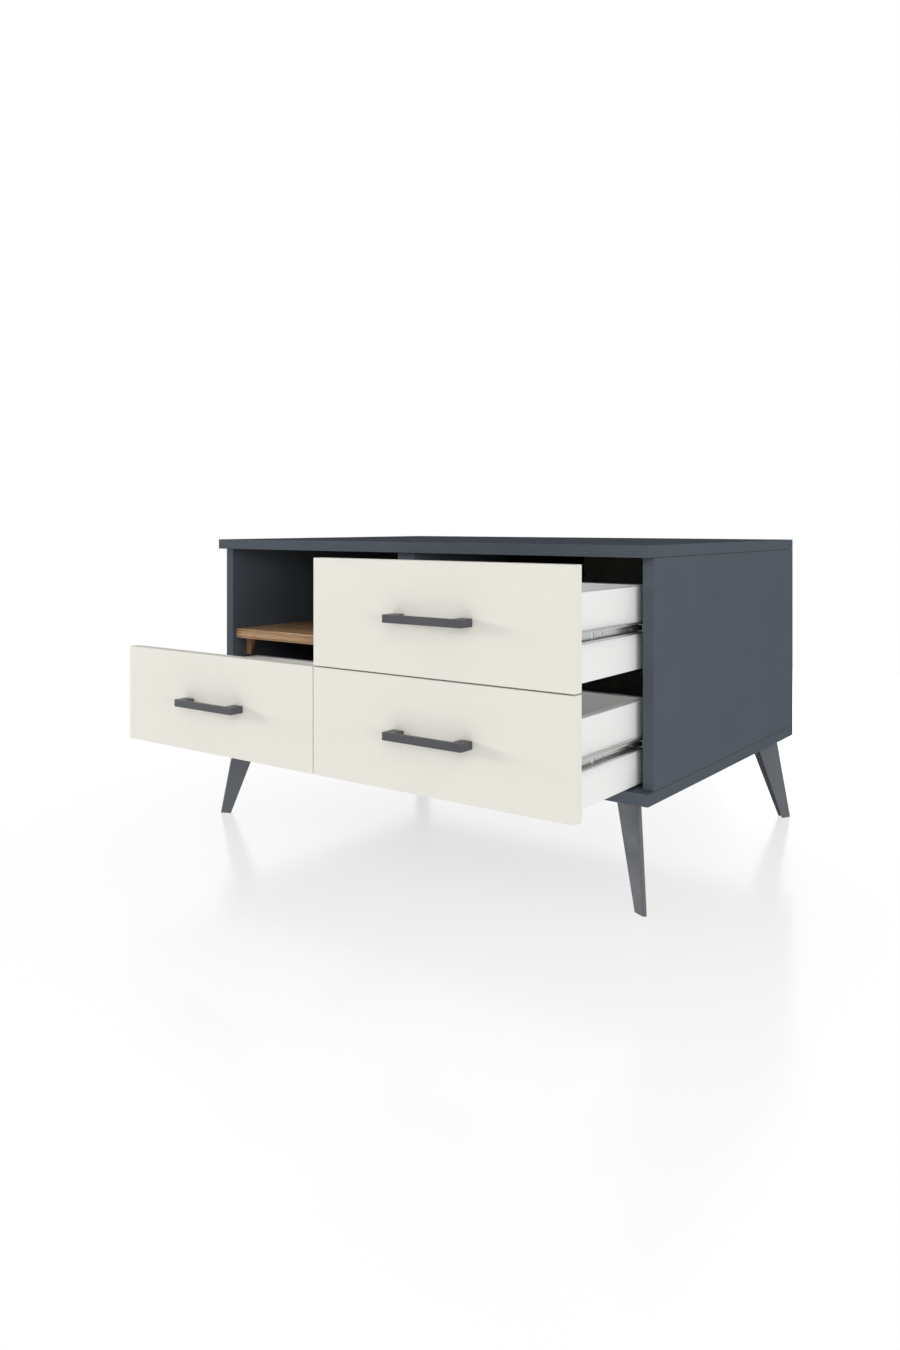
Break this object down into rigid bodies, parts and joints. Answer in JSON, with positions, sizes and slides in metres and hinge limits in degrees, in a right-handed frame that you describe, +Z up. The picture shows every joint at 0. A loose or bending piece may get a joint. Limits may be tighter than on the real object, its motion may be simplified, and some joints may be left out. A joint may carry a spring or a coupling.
{
  "type": "chest of drawers",
  "caption": "Low chest of drawers on splayed folded legs: dark carcass with an open niche over an oak shelf, and cream-fronted drawers with bow handles on ball slides.",
  "frame": {"origin": "on the floor, under the middle of the box that the chest fills with its drawers pulled out", "axes": "+X along the width towards the column with two drawers, +Y towards the back panel, +Z up"},
  "size_m": [0.9, 0.8538, 0.525],
  "materials": {
    "anthracite_board": "dark grey melamine-faced board, satin",
    "cream_board": "cream melamine-faced board, satin",
    "white_board": "white foil-wrapped board, satin",
    "back_hardboard": "pale hardboard sheet, matt",
    "oak": "oak grain along the shelf, satin",
    "leg_paint": "grey powder coat",
    "handle_paint": "dark grey powder coat",
    "zinc_steel": "zinc-plated sheet",
    "black_plastic": "moulded, satin"
  },
  "bodies": {
    "carcass": {"top_panel": "anthracite_board", "bottom_panel": "anthracite_board", "left_side_panel": "anthracite_board", "right_side_panel": "anthracite_board", "left_partition": "anthracite_board", "right_partition": "anthracite_board", "back_panel": "back_hardboard", "oak_shelf": "oak", "shelf_block_front_left": "oak", "shelf_block_front_right": "oak", "shelf_block_rear_left": "oak", "shelf_block_rear_right": "oak", "leg_front_left": "leg_paint", "leg_front_right": "leg_paint", "leg_rear_left": "leg_paint", "leg_rear_right": "leg_paint", "upper_left_cabinet_rail": "zinc_steel", "upper_right_cabinet_rail": "zinc_steel", "lower_left_left_cabinet_rail": "zinc_steel", "lower_left_right_cabinet_rail": "zinc_steel", "lower_right_left_cabinet_rail": "zinc_steel", "lower_right_right_cabinet_rail": "zinc_steel"},
    "upper_drawer": {"upper_drawer_front": "cream_board", "upper_drawer_handle": "handle_paint", "upper_drawer_box_front": "white_board", "upper_drawer_left_wall": "white_board", "upper_drawer_right_wall": "white_board", "upper_drawer_back_wall": "white_board", "upper_drawer_bottom": "white_board", "upper_drawer_left_rail": "zinc_steel", "upper_drawer_right_rail": "zinc_steel"},
    "lower_left_drawer": {"lower_left_drawer_front": "cream_board", "lower_left_drawer_handle": "handle_paint", "lower_left_drawer_box_front": "white_board", "lower_left_drawer_left_wall": "white_board", "lower_left_drawer_right_wall": "white_board", "lower_left_drawer_back_wall": "white_board", "lower_left_drawer_bottom": "white_board", "lower_left_drawer_left_rail": "zinc_steel", "lower_left_drawer_right_rail": "zinc_steel"},
    "lower_right_drawer": {"lower_right_drawer_front": "cream_board", "lower_right_drawer_handle": "handle_paint", "lower_right_drawer_box_front": "white_board", "lower_right_drawer_left_wall": "white_board", "lower_right_drawer_right_wall": "white_board", "lower_right_drawer_back_wall": "white_board", "lower_right_drawer_bottom": "white_board", "lower_right_drawer_left_rail": "zinc_steel", "lower_right_drawer_right_rail": "zinc_steel"},
    "upper_cages": {"upper_left_ball_cage": "black_plastic", "upper_right_ball_cage": "black_plastic"},
    "lower_left_cages": {"lower_left_left_ball_cage": "black_plastic", "lower_left_right_ball_cage": "black_plastic"},
    "lower_right_cages": {"lower_right_left_ball_cage": "black_plastic", "lower_right_right_ball_cage": "black_plastic"}
  },
  "joints": [
    {"name": "upper_drawer_slide", "type": "slide", "parent": "carcass", "child": "upper_drawer", "axis": [0, -1, 0], "range_m": [-0.204, 0]},
    {"name": "lower_left_drawer_slide", "type": "slide", "parent": "carcass", "child": "lower_left_drawer", "axis": [0, -1, 0], "range_m": [-0.204, 0]},
    {"name": "lower_right_drawer_slide", "type": "slide", "parent": "carcass", "child": "lower_right_drawer", "axis": [0, -1, 0], "range_m": [-0.204, 0]},
    {"name": "upper_cages_slide", "type": "slide", "parent": "carcass", "child": "upper_cages", "axis": [0, -1, 0], "range_m": [-0.102, 0]},
    {"name": "lower_left_cages_slide", "type": "slide", "parent": "carcass", "child": "lower_left_cages", "axis": [0, -1, 0], "range_m": [-0.102, 0]},
    {"name": "lower_right_cages_slide", "type": "slide", "parent": "carcass", "child": "lower_right_cages", "axis": [0, -1, 0], "range_m": [-0.102, 0]}
  ],
  "couplings": [
    {"joint": "upper_cages_slide", "follows": "upper_drawer_slide", "ratio": 0.5},
    {"joint": "lower_left_cages_slide", "follows": "lower_left_drawer_slide", "ratio": 0.5},
    {"joint": "lower_right_cages_slide", "follows": "lower_right_drawer_slide", "ratio": 0.5}
  ]
}
